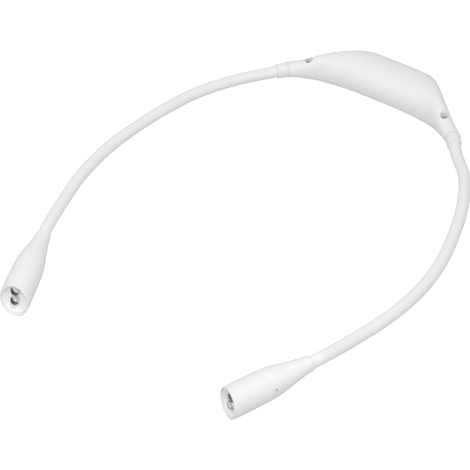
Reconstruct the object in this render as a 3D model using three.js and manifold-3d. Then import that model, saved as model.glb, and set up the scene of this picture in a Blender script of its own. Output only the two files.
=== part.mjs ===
import * as THREE from "three";
import { mergeVertices } from "three/addons/utils/BufferGeometryUtils.js";
import Module from "manifold-3d";

// A neck reading light: a battery housing that lies behind the neck, two bendable arms
// and a two-lamp head at the end of each arm.
// Millimetres, +Z up. The origin lies on the battery door's outer face, in the light's middle
// plane; the housing lies towards +Y, the arms run towards -Y and +X is the wearer's right.

const wasm = await Module();
wasm.setup();

// Driving dimensions
const clearance = 0.3; // between neighbouring pieces
const overrun = 2; // how far a cutting shape runs past what it cuts
const round = Math.PI * 2;
const turnedSides = 16; // of the small turned pieces

const tube = {
  radius: 3.3,
  boreRadius: 2.4,
  coreRadius: 2.0,
  sides: 12,
  coreSides: 8,
  bendGap: 0.45, // between a ball end and the socket that it turns in
  steps: 3,
  noseSteps: 4,
  coreNoseShare: 0.95, // of the core's radius, where its rounded end starts
};

const housing = {
  halfLength: 53,
  endDrop: 18.8, // how far the ends lie in front of the middle
  backDepth: 18.8,
  frontDepth: 8.2,
  height: 17.5,
  wall: 1.4,
  splitHeight: 5, // between the top shell and the bottom shell
  widestHeight: 6.8,
  axisHeight: 8.4, // of the arms' axis where they leave the housing
  endRadius: 4.5,
  endAngle: THREE.MathUtils.degToRad(52), // of the arms' axis, from +X towards -Y
  flatCut: 1.2, // the round underside is cut flat by this depth
  tailLength: 8, // each end of the top shell that stays a whole ring
  bayShare: 0.466, // of its half length, where the battery bay ends
  bayBackShare: 0.875, // of the back depth, at the bay's corners
  taperShare: 0.64, // where the top starts to fall
  riseShare: 0.45, // and where the underside starts to rise
  cavityShare: 0.88, // and where the hollow ends
  topPower: 0.92, // under 1 is squarer than an ellipse
  bottomPower: 0.62,
  stations: 10,
  corners: 20,
};

const cell = { radius: 5.25, length: 44.5, nubRadius: 1.9, nubLength: 1.2, pitch: 10.8 };
const contact = {
  thickness: 0.5,
  size: 6.8,
  springLength: 2.7,
  wireRadius: 0.3,
  wireSides: 5,
  turns: 2.5,
};
const door = { thickness: 1.5, margin: 1.7, pinRadius: 0.6, pinLength: 1.6 };
const rib = { thickness: 1.2, height: 11 };
const screw = {
  headRadius: 1.7,
  headHeight: 1.3,
  shankRadius: 1,
  wellRadius: 2.1,
  seatHeight: 10.8,
  floorHeight: 2.8, // the blind holes stop here, above the underside
  boss: 1.1, // wall round the well and round the shank
  alongShare: 0.819, // of the housing's half length
  dropShare: 0.633, // of the housing's end drop
};
const driver = {
  sizeShare: 0.25, // of the housing's length beside the bay
  thickness: 1,
  postRadius: 1.2,
  postShare: 0.3,
};
const lead = { radius: 0.6, sides: 5, passAngle: THREE.MathUtils.degToRad(76) };
const collar = {
  radius: 4.3,
  mouthRadius: 4.05,
  length: 6.3,
  spigotRadius: 3,
  spigotLength: 4,
  chamfer: 0.5,
};

const arm = {
  rootLength: 8, // fixed stretch between the collar and the first joint
  endLength: 5, // stretch between the last joint and the head
  coreInset: 7, // how far the core reaches into the housing
  segments: 5,
  halfWidth: 100, // of the loop, at its widest
  reach: 185, // from the housing's ends to the heads' necks
};

const head = {
  length: 43.4,
  radius: 8.05,
  wall: 1.1,
  lipShare: 0.97, // of its length, where the wall stays full
  lean: 3.46, // how much further back the top of the rim lies than the middle
  roll: THREE.MathUtils.degToRad(18.4), // outwards, about its own axis
  sides: 20,
  stations: 11,
};
const cup = {
  wall: 0.7,
  taper: 0.3, // how much thicker the wall is at the floor
  floor: 1.2,
  depth: 2.2,
  rimSetback: 0.9,
  legThickness: 0.8,
  legWidth: 3,
};
const led = {
  radius: 2.4,
  flangeRadius: 2.55,
  flangeLength: 1,
  domeLength: 3.2,
  domeSteps: 4,
  pitch: 5.4,
};
const snap = {
  pegRadius: 0.45,
  holeRadius: 0.75,
  alongShare: 0.47,
  angle: THREE.MathUtils.degToRad(57), // from the top, outwards
};
const board = { width: 7.6, thickness: 1, back: 12, rise: 1 };
const pushSwitch = { size: 6, height: 2.6, along: 20 };
const button = {
  radius: 2.4,
  stemRadius: 1.5,
  flangeRadius: 3.1,
  flangeThickness: 0.8,
  proud: 0.9,
  travel: 0.5,
};
const crimp = { radius: 3.1, length: 3, back: 6 };

// Where each arm runs: shares of the loop's half width, of the reach and of the neck's rise
const rightRoute = {
  side: 1,
  placeShares: [
    [0.739, 0.137, 0.14],
    [0.853, 0.254, 0.31],
    [0.933, 0.379, 0.44],
    [0.99, 0.508, 0.54],
    [1.009, 0.641, 0.65],
    [0.986, 0.773, 0.77],
    [0.931, 0.903, 0.89],
  ],
  neckShares: [0.858, 1.029],
  yaw: THREE.MathUtils.degToRad(36.8),
  pitch: THREE.MathUtils.degToRad(-18),
};
const leftRoute = {
  side: -1,
  placeShares: [
    [0.702, 0.128, 0.12],
    [0.81, 0.244, 0.28],
    [0.871, 0.369, 0.44],
    [0.909, 0.497, 0.54],
    [0.922, 0.627, 0.66],
    [0.897, 0.756, 0.8],
    [0.84, 0.882, 0.94],
  ],
  neckShares: [0.768, 1.006],
  yaw: THREE.MathUtils.degToRad(18.7),
  pitch: THREE.MathUtils.degToRad(-6.9),
};

// Materials
const paint = (color, roughness, metalness = 0) =>
  new THREE.MeshStandardMaterial({ color, roughness, metalness });
const whiteShell = paint(0xf2f2f1, 0.42);
const whiteSleeve = paint(0xf1f1ee, 0.5);
const springSteel = paint(0x9b9da0, 0.35, 1);
const zincSteel = paint(0xb8babd, 0.35, 1);
const nickelPlate = paint(0xc9c7c0, 0.3, 1);
const cellSleeve = paint(0x55606b, 0.4);
const greenBoard = paint(0x2f6b45, 0.5);
const blackPlastic = paint(0x242424, 0.5);
const greyRubber = paint(0xd9d9d7, 0.7);
const clearEpoxy = paint(0xe6e8ea, 0.1);
const wireSleeve = paint(0xb03a30, 0.5);

const light = new THREE.Group();

// Solids

function toSolid(geometry) {
  const bare = geometry.clone();
  bare.deleteAttribute("normal");
  bare.deleteAttribute("uv");
  const merged = mergeVertices(bare);
  return new wasm.Manifold(
    new wasm.Mesh({
      numProp: 3,
      vertProperties: new Float32Array(merged.attributes.position.array),
      triVerts: new Uint32Array(merged.index.array),
    }),
  );
}

function toGeometry(solid) {
  const mesh = solid.getMesh();
  const geometry = new THREE.BufferGeometry();
  geometry.setAttribute("position", new THREE.BufferAttribute(mesh.vertProperties, 3));
  geometry.setIndex(new THREE.BufferAttribute(mesh.triVerts, 1));
  geometry.computeVertexNormals();
  return geometry;
}

function addPiece(parent, name, solid, material) {
  const mesh = new THREE.Mesh(toGeometry(solid), material);
  mesh.name = name;
  parent.add(mesh);
  return mesh;
}

// A solid box between two corners, then turned about the Y axis
function block(low, high, turn = 0) {
  const geometry = new THREE.BoxGeometry(high[0] - low[0], high[1] - low[1], high[2] - low[2]);
  geometry.translate((low[0] + high[0]) / 2, (low[1] + high[1]) / 2, (low[2] + high[2]) / 2);
  geometry.rotateY(turn);
  return toSolid(geometry);
}

// A round bar from one point to another
function bar(from, to, radius, sides) {
  const start = new THREE.Vector3(...from);
  const span = new THREE.Vector3(...to).sub(start);
  const geometry = new THREE.CylinderGeometry(radius, radius, span.length(), sides);
  geometry.translate(0, span.length() / 2, 0);
  geometry.applyQuaternion(
    new THREE.Quaternion().setFromUnitVectors(new THREE.Vector3(0, 1, 0), span.normalize()),
  );
  geometry.translate(...from);
  return toSolid(geometry);
}

// A turned piece on the Y axis: its outline runs anticlockwise, as pairs of radius and height
function turned(outline, sides) {
  const points = outline.map(([radius, height]) => new THREE.Vector2(radius, height));
  return new THREE.LatheGeometry(points, sides);
}

// A closed surface through rings of points that all have the same count
function loft(rings) {
  const count = rings[0].length;
  const points = rings.flat();
  const faces = [];
  for (let ring = 0; ring < rings.length - 1; ring++) {
    for (let index = 0; index < count; index++) {
      const next = (index + 1) % count;
      const here = ring * count;
      const there = here + count;
      faces.push(here + index, there + next, there + index, here + index, here + next, there + next);
    }
  }
  const last = (rings.length - 1) * count;
  for (let index = 1; index < count - 1; index++) {
    faces.push(0, index + 1, index, last, last + index, last + index + 1);
  }
  const geometry = new THREE.BufferGeometry();
  geometry.setAttribute("position", new THREE.Float32BufferAttribute(points.flat(), 3));
  geometry.setIndex(faces);
  return toSolid(geometry);
}

// A tube of one radius along a whole curve
function tubeAlong(path, radius, sides, steps) {
  const points = [];
  for (let index = 0; index < sides; index++) {
    const angle = (index * round) / sides;
    points.push(new THREE.Vector2(radius * Math.cos(angle), radius * Math.sin(angle)));
  }
  const options = { steps, bevelEnabled: false, extrudePath: path };
  return toSolid(new THREE.ExtrudeGeometry(new THREE.Shape(points), options));
}

// Housing shape

const axisDirection = (side) =>
  new THREE.Vector3(side * Math.cos(housing.endAngle), -Math.sin(housing.endAngle), 0);
const endCentre = (side) =>
  new THREE.Vector3(side * housing.halfLength, -housing.endDrop, housing.axisHeight);

// Battery bay: two cells side by side, each pushed against its positive contact
const bayMiddle = (housing.backDepth * housing.bayBackShare - housing.frontDepth) / 2;
const bayHalfLength =
  (cell.length + contact.springLength + contact.thickness * 2 + clearance * 4) / 2;
const bayHalfWidth = cell.pitch / 2 + cell.radius + clearance;
const shoulder = housing.halfLength - bayHalfLength;

// Place along the housing for a share of its half length: the bay keeps its room when the
// housing is made longer or shorter
const mix = (from, to, share) => from + (to - from) * share;
const alongHousing = (share) =>
  share < housing.bayShare
    ? mix(0, bayHalfLength, share / housing.bayShare)
    : mix(bayHalfLength, housing.halfLength, (share - housing.bayShare) / (1 - housing.bayShare));

// Half outlines of the housing's back and front edges, from its middle to its end, as shares of
// its half length and of its depths
const backShares = [[0, 1], [0.246, 0.995], [0.37, 0.948], [0.46, 0.797], [0.596, 0.4], [0.842, -0.3]];
const frontShares = [[0, -1], [0.15, -1.01], [0.3, -1.03], [0.46, -1.1], [0.65, -1.47], [0.82, -2.15]];

function edgeCurve(shares, depth, endSign) {
  const end = endCentre(1);
  const along = axisDirection(1);
  const corner = [
    end.x - endSign * along.y * housing.endRadius,
    end.y + endSign * along.x * housing.endRadius,
  ];
  const points = shares.map(([x, y]) => new THREE.Vector2(alongHousing(x), y * depth));
  return new THREE.SplineCurve([...points, new THREE.Vector2(...corner)]);
}

const backEdge = edgeCurve(backShares, housing.backDepth, 1);
const frontEdge = edgeCurve(frontShares, housing.frontDepth, -1);

// Where an edge of the plan lies, across the housing, at a place along it
const edgePlace = (edge, along) =>
  edge.getPoints(housing.stations * housing.corners).find((point) => point.x >= along).y;

// One section of the housing, across it, at a share of its half length; inset is the wall left out
function housingSection(share, inset) {
  const reach = Math.abs(share);
  const back = backEdge.getPoint(reach);
  const front = frontEdge.getPoint(reach);
  const across = back.clone().sub(front);
  const half = across.length() / 2 - inset;
  across.normalize();
  const centre = back.clone().add(front).multiplyScalar(1 / 2);
  const taper = THREE.MathUtils.smootherstep(reach, housing.taperShare, 1);
  const rise = THREE.MathUtils.smootherstep(reach, housing.riseShare, 1);
  const top = mix(housing.height, housing.axisHeight + housing.endRadius, taper) - inset;
  const bottom = mix(-housing.flatCut, housing.axisHeight - housing.endRadius, rise) + inset;
  const widest = mix(housing.widestHeight, housing.axisHeight, rise);
  const topPower = mix(housing.topPower, 1, taper);
  const bottomPower = mix(housing.bottomPower, 1, rise);
  const ring = [];
  for (let index = 0; index < housing.corners; index++) {
    const angle = (index * round) / housing.corners;
    const upper = Math.sin(angle) >= 0;
    const power = upper ? topPower : bottomPower;
    const sideways = Math.sign(Math.cos(angle)) * Math.abs(Math.cos(angle)) ** power * half;
    const upward = Math.abs(Math.sin(angle)) ** power * (upper ? top - widest : bottom - widest);
    const x = centre.x + across.x * sideways;
    ring.push([(share < 0 ? -1 : 1) * x, centre.y + across.y * sideways, widest + upward]);
  }
  return ring;
}

function housingBody(inset, endShare) {
  const rings = [];
  for (let station = -housing.stations; station <= housing.stations; station++) {
    rings.push(housingSection((station / housing.stations) * endShare, inset));
  }
  return loft(rings);
}

const farOut = housing.halfLength * 2;
const housingOuter = housingBody(0, 1).subtract(
  block([-farOut, -farOut, -housing.height], [farOut, farOut, 0]),
);
const housingInner = housingBody(housing.wall, housing.cavityShare).subtract(
  block([-farOut, -farOut, -housing.height], [farOut, farOut, housing.wall]),
);
const housingRoom = housingBody(housing.wall + clearance, housing.cavityShare);

// Inside the bay
const cellHeight = door.thickness + clearance + cell.radius;
const doorHalfLength = bayHalfLength - clearance;
const doorHalfWidth = bayHalfWidth - door.margin;
const tailPlane = housing.halfLength - housing.tailLength;

function endBores() {
  const bores = [];
  for (const side of [1, -1]) {
    const end = endCentre(side);
    const along = axisDirection(side);
    const at = (distance) => end.clone().addScaledVector(along, distance).toArray();
    const deep = -arm.coreInset - collar.spigotLength;
    const seat = -collar.spigotLength - clearance;
    bores.push(bar(at(deep), at(overrun), tube.coreRadius + clearance, turnedSides));
    bores.push(bar(at(seat), at(overrun), collar.spigotRadius + clearance, turnedSides));
  }
  return bores[0].add(bores[1]).add(bores[2]).add(bores[3]);
}

const screwPlaces = [1, -1].map((side) => [
  side,
  side * alongHousing(screw.alongShare),
  -housing.endDrop * screw.dropShare,
]);
const screwStem = screw.shankRadius + clearance + screw.boss;
const upright = (x, y, low, high, radius) => bar([x, y, low], [x, y, high], radius, tube.sides);

function addHousingTop() {
  const half = clearance / 2;
  const above = block(
    [-farOut, -farOut, housing.splitHeight + half],
    [farOut, farOut, housing.height + overrun],
  );
  let keep = above;
  for (const side of [1, -1]) {
    const near = side * (tailPlane + half);
    const far = side * farOut;
    const low = [Math.min(near, far), -farOut, -overrun];
    keep = keep.add(block(low, [Math.max(near, far), farOut, housing.height + overrun]));
  }
  let shell = housingOuter.subtract(housingInner);
  for (const [, x, y] of screwPlaces) {
    const cupFloor = screw.seatHeight - screw.boss;
    const well = upright(x, y, cupFloor, housing.height, screw.wellRadius + screw.boss);
    const stem = upright(x, y, 0, housing.height, screwStem);
    shell = shell.add(well.add(stem).intersect(housingOuter));
  }
  shell = shell.intersect(keep).subtract(endBores());
  for (const [, x, y] of screwPlaces) {
    shell = shell
      .subtract(upright(x, y, screw.seatHeight, housing.height + overrun, screw.wellRadius))
      .subtract(upright(x, y, -overrun, housing.height, screw.shankRadius + clearance));
  }
  addPiece(light, "housing_top", shell, whiteShell);
}

function addHousingBottom() {
  const half = clearance / 2;
  const keep = block(
    [-tailPlane + half, -farOut, -overrun],
    [tailPlane - half, farOut, housing.splitHeight - half],
  );
  let shell = housingOuter.subtract(housingInner);
  for (const [, x, y] of screwPlaces) {
    shell = shell.add(upright(x, y, 0, housing.height, screwStem).intersect(housingOuter));
  }
  shell = shell.intersect(keep);
  for (const [, x, y] of screwPlaces) {
    const hole = upright(x, y, screw.floorHeight, housing.height, screw.shankRadius + clearance);
    shell = shell.subtract(hole);
  }
  // Ribs across the bay that hold the contacts
  for (const side of [1, -1]) {
    const inner = side * bayHalfLength;
    const outer = side * (bayHalfLength + rib.thickness);
    const low = [Math.min(inner, outer), bayMiddle - bayHalfWidth, housing.wall / 2];
    const wall = block(low, [Math.max(inner, outer), bayMiddle + bayHalfWidth, rib.height]);
    shell = shell.add(wall.intersect(housingRoom));
  }
  // Posts under the driver board
  for (const postShare of [-driver.postShare, driver.postShare]) {
    const [x, y] = [driverPlace[0], driverPlace[1] + postShare * driverSize];
    const top = driverPlace[2] - clearance;
    shell = shell.add(upright(x, y, housing.wall / 2, top, driver.postRadius));
  }
  const opening = block(
    [-doorHalfLength - clearance, bayMiddle - doorHalfWidth - clearance, -overrun],
    [doorHalfLength + clearance, bayMiddle + doorHalfWidth + clearance, housing.wall + overrun],
  );
  const pinReach = doorHalfLength + door.pinLength + clearance;
  const pinHole = bar(
    [-pinReach, doorHinge[1], doorHinge[2]],
    [pinReach, doorHinge[1], doorHinge[2]],
    door.pinRadius + clearance,
    tube.sides,
  );
  addPiece(light, "housing_bottom", shell.subtract(opening).subtract(pinHole), whiteShell);
}

// The door turns on pins along its front edge
const doorHinge = [0, bayMiddle - doorHalfWidth + door.thickness / 2, door.thickness / 2];

function addDoor() {
  const plate = block(
    [-doorHalfLength, doorHinge[1], 0],
    [doorHalfLength, bayMiddle + doorHalfWidth, door.thickness],
  );
  const [, y, z] = doorHinge;
  const rod = (reach, radius) => bar([-reach, y, z], [reach, y, z], radius, tube.sides);
  const edge = rod(doorHalfLength, door.thickness / 2);
  const pins = rod(doorHalfLength + door.pinLength, door.pinRadius);
  const nailNotch = block(
    [-cell.radius, bayMiddle + doorHalfWidth - door.thickness, -overrun],
    [cell.radius, bayMiddle + doorHalfWidth + overrun, door.thickness / 2],
  );
  addPiece(light, "battery_door", plate.add(edge).add(pins).subtract(nailNotch), whiteShell);
}

// A cell along X with its nub towards the given side
const cellPlaces = [
  { name: "battery_cell_front", side: 1, y: bayMiddle - cell.pitch / 2 },
  { name: "battery_cell_rear", side: -1, y: bayMiddle + cell.pitch / 2 },
];

function addCell({ name, side, y }) {
  const body = cell.length - cell.nubLength;
  const edge = cell.nubLength / 2;
  const outline = [
    [0, 0],
    [cell.radius - edge, 0],
    [cell.radius, edge],
    [cell.radius, body - edge],
    [cell.radius - edge, body],
    [cell.nubRadius, body],
    [cell.nubRadius, cell.length],
    [0, cell.length],
  ];
  const geometry = turned(outline, turnedSides);
  const tip = bayHalfLength - contact.thickness - clearance * 2;
  geometry.translate(0, tip - cell.length, 0);
  geometry.rotateZ((-side * round) / 4);
  geometry.translate(0, y, cellHeight);
  addPiece(light, name, toSolid(geometry), cellSleeve);
}

// A flat contact against a rib, and the conical spring that stands on it
function contactPlate(side, low, high) {
  const outer = side * (bayHalfLength - clearance);
  const inner = outer - side * contact.thickness;
  const bottom = cellHeight - contact.size / 2;
  return block(
    [Math.min(inner, outer), low, bottom],
    [Math.max(inner, outer), high, bottom + contact.size],
  );
}

class SpringPath extends THREE.Curve {
  constructor(side, y) {
    super();
    this.side = side;
    this.y = y;
  }

  getPoint(share, target = new THREE.Vector3()) {
    const angle = share * contact.turns * round;
    const radius = mix(contact.size / 2 - contact.wireRadius * 3, cell.nubRadius, share);
    const start = bayHalfLength - clearance - contact.thickness;
    const free = contact.springLength - clearance - contact.wireRadius;
    return target.set(
      this.side * (start - share * free),
      this.y + radius * Math.cos(angle),
      cellHeight + radius * Math.sin(angle),
    );
  }
}

function contactSpring(side, y) {
  const steps = contact.turns * tube.coreSides;
  return tubeAlong(new SpringPath(side, y), contact.wireRadius, contact.wireSides, steps);
}

function addContacts() {
  const half = contact.size / 2;
  const [front, rear] = cellPlaces;
  const plus = contactPlate(1, front.y - half, front.y + half);
  const minus = contactPlate(1, rear.y - half, rear.y + half).add(contactSpring(1, rear.y));
  const bridge = contactPlate(-1, front.y - half, rear.y + half).add(contactSpring(-1, front.y));
  addPiece(light, "contact_positive", plus, nickelPlate);
  addPiece(light, "contact_negative", minus, nickelPlate);
  addPiece(light, "contact_bridge", bridge, nickelPlate);
}

// The small square board that feeds both arms, beside the bay on the wearer's right
const driverSize = shoulder * driver.sizeShare;
const driverInner = bayHalfLength + rib.thickness + clearance;
const driverPlace = [
  driverInner + driverSize / 2,
  (edgePlace(backEdge, driverInner + driverSize) + edgePlace(frontEdge, driverInner + driverSize)) / 2,
  housing.splitHeight - driver.thickness,
];

function addDriverBoard() {
  const [x, y, z] = driverPlace;
  const low = [x - driverSize / 2, y - driverSize / 2, z];
  const high = [x + driverSize / 2, y + driverSize / 2, z + driver.thickness];
  addPiece(light, "driver_board", block(low, high), greenBoard);
}

// Leads from the board to the inner ends of the arms' cores, behind the screws' stems
function addLead(side, name, start, between) {
  const [, x, y] = screwPlaces[side > 0 ? 0 : 1];
  const past = screwStem + clearance * 2 + lead.radius;
  const coreEnd = endCentre(side).addScaledVector(axisDirection(side), -arm.coreInset - clearance);
  const height = driverPlace[2] + driver.thickness + clearance + lead.radius;
  const behind = [
    x + side * past * Math.cos(lead.passAngle),
    y + past * Math.sin(lead.passAngle),
    height,
  ];
  const points = [[...start, height], ...between, behind].map((at) => new THREE.Vector3(...at));
  const path = new THREE.CatmullRomCurve3([...points, coreEnd]);
  const steps = Math.ceil(path.getLength() / (lead.radius * 8));
  addPiece(light, name, tubeAlong(path, lead.radius, lead.sides, steps), wireSleeve);
}

// The left lead crosses the bay in the valley above the two cells
function addLeads() {
  const [x, y] = driverPlace;
  const outer = bayHalfLength + rib.thickness;
  const above = rib.height + clearance * 2 + lead.radius;
  addLead(1, "right_lead", [x + driverSize / 4, y + driverSize / 4], []);
  addLead(-1, "left_lead", [x + driverSize / 4, y - driverSize / 4], [
    [x, (y + bayMiddle) / 2, above],
    [outer, bayMiddle, above],
    [outer / 2, bayMiddle, above],
    [0, bayMiddle, above],
    [-outer / 2, bayMiddle, above],
    [-outer, bayMiddle, above],
  ]);
}

function addScrews() {
  for (const [side, x, y] of screwPlaces) {
    const seat = screw.seatHeight + clearance;
    const head = upright(x, y, seat, seat + screw.headHeight, screw.headRadius);
    const shank = upright(x, y, screw.floorHeight + clearance, seat, screw.shankRadius);
    const slot = block(
      [x - screw.headRadius * 2, y - clearance, seat + screw.headHeight / 2],
      [x + screw.headRadius * 2, y + clearance, seat + screw.headHeight + overrun],
    );
    const name = side > 0 ? "right_case_screw" : "left_case_screw";
    addPiece(light, name, head.add(shank).subtract(slot), zincSteel);
  }
}

// Collars, turned, with a spigot in the housing's end
function addCollar(side, name) {
  const bore = tube.coreRadius + clearance;
  const outline = [
    [bore, -collar.spigotLength],
    [collar.spigotRadius, -collar.spigotLength],
    [collar.spigotRadius, clearance],
    [collar.radius, clearance],
    [collar.mouthRadius, collar.length - collar.chamfer],
    [collar.mouthRadius - collar.chamfer, collar.length],
    [bore, collar.length],
    [bore, -collar.spigotLength],
  ];
  const geometry = turned(outline, turnedSides);
  const upwards = new THREE.Vector3(0, 1, 0);
  geometry.applyQuaternion(new THREE.Quaternion().setFromUnitVectors(upwards, axisDirection(side)));
  const end = endCentre(side);
  geometry.translate(end.x, end.y, end.z);
  addPiece(light, `${name}_collar`, toSolid(geometry), whiteShell);
}

// Head shape, about its own axis: the neck is at the origin, forward is -Y, up is +Z and
// +X is outwards on the wearer's right

// Radius of the head's outside at a distance from the neck, by shares of its length and radius
const headOutlineShares = [
  [0, 0.484], [0.06, 0.51], [0.12, 0.563], [0.25, 0.7], [0.38, 0.857], [0.52, 0.958], [0.7, 0.99],
  [0.85, 1], [0.965, 0.995], [1, 0.972],
];
const headCurve = new THREE.SplineCurve(
  headOutlineShares.map(([x, y]) => new THREE.Vector2(x * head.length, y * head.radius)),
);

// The top of each section lies further back than its middle, and more so towards the rim
function leaned(geometry) {
  const place = geometry.attributes.position;
  for (let index = 0; index < place.count; index++) {
    const along = -place.getY(index);
    const shift = (head.lean * along * place.getZ(index)) / head.length / head.radius;
    place.setY(index, -along + shift);
  }
  return geometry;
}

const outsidePoints = headCurve.getSpacedPoints(head.stations);

function radiusAt(along) {
  const after = outsidePoints.findIndex((point) => point.x >= along);
  const [low, high] = [outsidePoints[after - 1], outsidePoints[after]];
  return mix(low.y, high.y, (along - low.x) / (high.x - low.x));
}

// A bar through the head on the line of its two snap holes, between two distances from its axis
function snapBar(side, from, to, radius) {
  const place = (out) => [
    side * out * Math.sin(snap.angle),
    -snap.alongShare * head.length,
    out * Math.cos(snap.angle),
  ];
  return bar(place(from), place(to), radius, tube.coreSides);
}

function shellSolid(side) {
  const bore = tube.coreRadius + clearance;
  const neckFloor = crimp.back - clearance;
  const outline = [];
  for (const point of outsidePoints) outline.push([point.y, -point.x]);
  outline.push([head.radius - head.wall, -head.length]);
  for (const point of [...outsidePoints].reverse()) {
    if (point.x > neckFloor && point.x < head.length * head.lipShare) {
      outline.push([point.y - head.wall, -point.x]);
    }
  }
  outline.push([radiusAt(neckFloor) - head.wall, -neckFloor], [bore, -neckFloor], [bore, 0]);
  outline.push(outline[0]);
  let shell = toSolid(leaned(turned(outline.reverse(), head.sides)));
  const far = head.radius * 2;
  shell = shell.subtract(snapBar(side, -far, far, snap.holeRadius));
  const down = -pushSwitch.along;
  return shell.subtract(
    bar([0, down, 0], [0, down, -far], button.radius + clearance, turnedSides),
  );
}

const cupFloorAt = head.length - cup.rimSetback - cup.depth;
const ledSeat = cupFloorAt - cup.floor - clearance;
const ledTilt = Math.atan((head.lean * cupFloorAt) / head.length / head.radius);

// From a lamp's own axes, with its seat at the origin, to its place in the head: it stands square
// to the leaned floor, and the pair is upright whatever the head's roll
function ledPlaced(geometry, side, up) {
  const half = (up * led.pitch) / 2;
  geometry.translate(-side * half * Math.sin(head.roll), 0, half * Math.cos(head.roll));
  geometry.rotateX(-ledTilt);
  geometry.translate(0, -ledSeat, 0);
  return toSolid(geometry);
}

// The cup round the lamps, with two legs that snap into the shell's holes
function cupSolid(side) {
  const outer = head.radius - head.wall - clearance;
  const inner = outer - cup.wall;
  const front = head.length - cup.rimSetback;
  const outline = [
    [0, -cupFloorAt],
    [inner - cup.taper, -cupFloorAt],
    [inner, -front],
    [outer, -front],
    [outer, -cupFloorAt + cup.floor],
    [0, -cupFloorAt + cup.floor],
  ];
  let solid = toSolid(leaned(turned(outline, head.sides)));

  const floorMiddle = -cupFloorAt + cup.floor / 2;
  const behindFloor = [[0, floorMiddle], [outer, floorMiddle], [outer, 0], [0, 0]];
  const legRoom = toSolid(leaned(turned(behindFloor, head.sides)));
  const legOuter = radiusAt(snap.alongShare * head.length) - head.wall - clearance * 2;
  const legInner = legOuter - cup.legThickness;
  const legBack = cup.legWidth / 2 - snap.alongShare * head.length;
  const turn = side * (snap.angle - round / 4);
  for (const end of [1, -1]) {
    const low = [Math.min(end * legInner, end * legOuter), -head.length, -cup.legWidth / 2];
    const high = [Math.max(end * legInner, end * legOuter), legBack, cup.legWidth / 2];
    solid = solid.add(block(low, high, turn).intersect(legRoom));
    solid = solid.add(snapBar(side, end * legInner, end * (legOuter + head.wall), snap.pegRadius));
  }

  const hole = led.radius + clearance;
  const past = -cup.floor - clearance - overrun;
  for (const up of [1, -1]) {
    const through = turned([[0, past], [hole, past], [hole, 0], [0, 0]], tube.sides);
    solid = solid.subtract(ledPlaced(through, side, up));
  }
  return solid;
}

// A round-nosed lamp whose flange sits behind the cup's floor
function ledSolid(side, up) {
  const straight = cup.floor + led.domeLength - led.radius;
  const outline = [];
  for (let step = 0; step <= led.domeSteps; step++) {
    const angle = (step / led.domeSteps) * (round / 4);
    outline.push([led.radius * Math.sin(angle), -straight - led.radius * Math.cos(angle)]);
  }
  const back = led.flangeLength;
  outline.push([led.radius, 0], [led.flangeRadius, 0], [led.flangeRadius, back], [0, back]);
  return ledPlaced(turned(outline, tube.sides), side, up);
}

const boardBottom = board.rise - board.thickness / 2;
const boardTop = boardBottom + board.thickness;
const boardFront =
  ledSeat - (led.flangeLength + clearance) / Math.cos(ledTilt) - boardTop * Math.tan(ledTilt);
const switchBottom = boardBottom - clearance - pushSwitch.height;

function boardSolid() {
  const half = board.width / 2;
  return block([-half, -boardFront, boardBottom], [half, -board.back, boardTop]);
}

function switchSolid() {
  const half = pushSwitch.size / 2;
  return block(
    [-half, -pushSwitch.along - half, switchBottom],
    [half, -pushSwitch.along + half, boardBottom - clearance],
  );
}

// The button stands in the shell's lower hole, with its flange inside
function buttonSolid() {
  const outside = radiusAt(pushSwitch.along);
  const inside = Math.sqrt((outside - head.wall) ** 2 - button.flangeRadius ** 2) - clearance * 2;
  const at = -pushSwitch.along;
  const stemTop = switchBottom - clearance - button.travel;
  const flangeTop = -inside + button.flangeThickness;
  const flange = upright(0, at, -inside, flangeTop, button.flangeRadius);
  const cap = upright(0, at, -outside - button.proud, -inside, button.radius);
  const stem = upright(0, at, -inside, stemTop, button.stemRadius);
  return flange.add(cap).add(stem);
}

function crimpSolid() {
  const bore = tube.coreRadius + clearance;
  const front = crimp.back + crimp.length;
  const outline = [
    [bore, -front],
    [crimp.radius, -front],
    [crimp.radius, -crimp.back],
    [bore, -crimp.back],
    [bore, -front],
  ];
  return toSolid(turned(outline, turnedSides));
}

// Turns the head's own axes to its place in the loop
function headTurn(route) {
  const turn = new THREE.Matrix4().makeRotationZ(-route.side * route.yaw);
  turn.multiply(new THREE.Matrix4().makeRotationX(-route.pitch));
  return turn.multiply(new THREE.Matrix4().makeRotationY(route.side * head.roll));
}

// The neck is as high as lets the turned head's lowest point touch the surface below
function neckHeight(route) {
  const outline = outsidePoints.map((point) => [point.y, -point.x]);
  const geometry = leaned(turned(outline, head.sides));
  geometry.applyMatrix4(headTurn(route));
  geometry.computeBoundingBox();
  return -geometry.boundingBox.min.z;
}

function headForward(route) {
  return new THREE.Vector3(0, -1, 0).applyMatrix4(headTurn(route));
}

// The arm's centre line, from the housing's end to the head's neck
function armCurve(route) {
  const start = endCentre(route.side);
  const along = axisDirection(route.side);
  const rise = neckHeight(route) - housing.axisHeight;
  const place = ([out, forward, up]) =>
    new THREE.Vector3(
      route.side * out * arm.halfWidth,
      -housing.endDrop - forward * arm.reach,
      housing.axisHeight + up * rise,
    );
  const neck = place([...route.neckShares, 1]);
  const points = [
    start,
    start.clone().addScaledVector(along, collar.length),
    start.clone().addScaledVector(along, collar.length + arm.rootLength),
    ...route.placeShares.map(place),
    neck.clone().addScaledVector(headForward(route), -arm.endLength),
    neck,
  ];
  return new THREE.CatmullRomCurve3(points, false, "centripetal");
}

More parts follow.
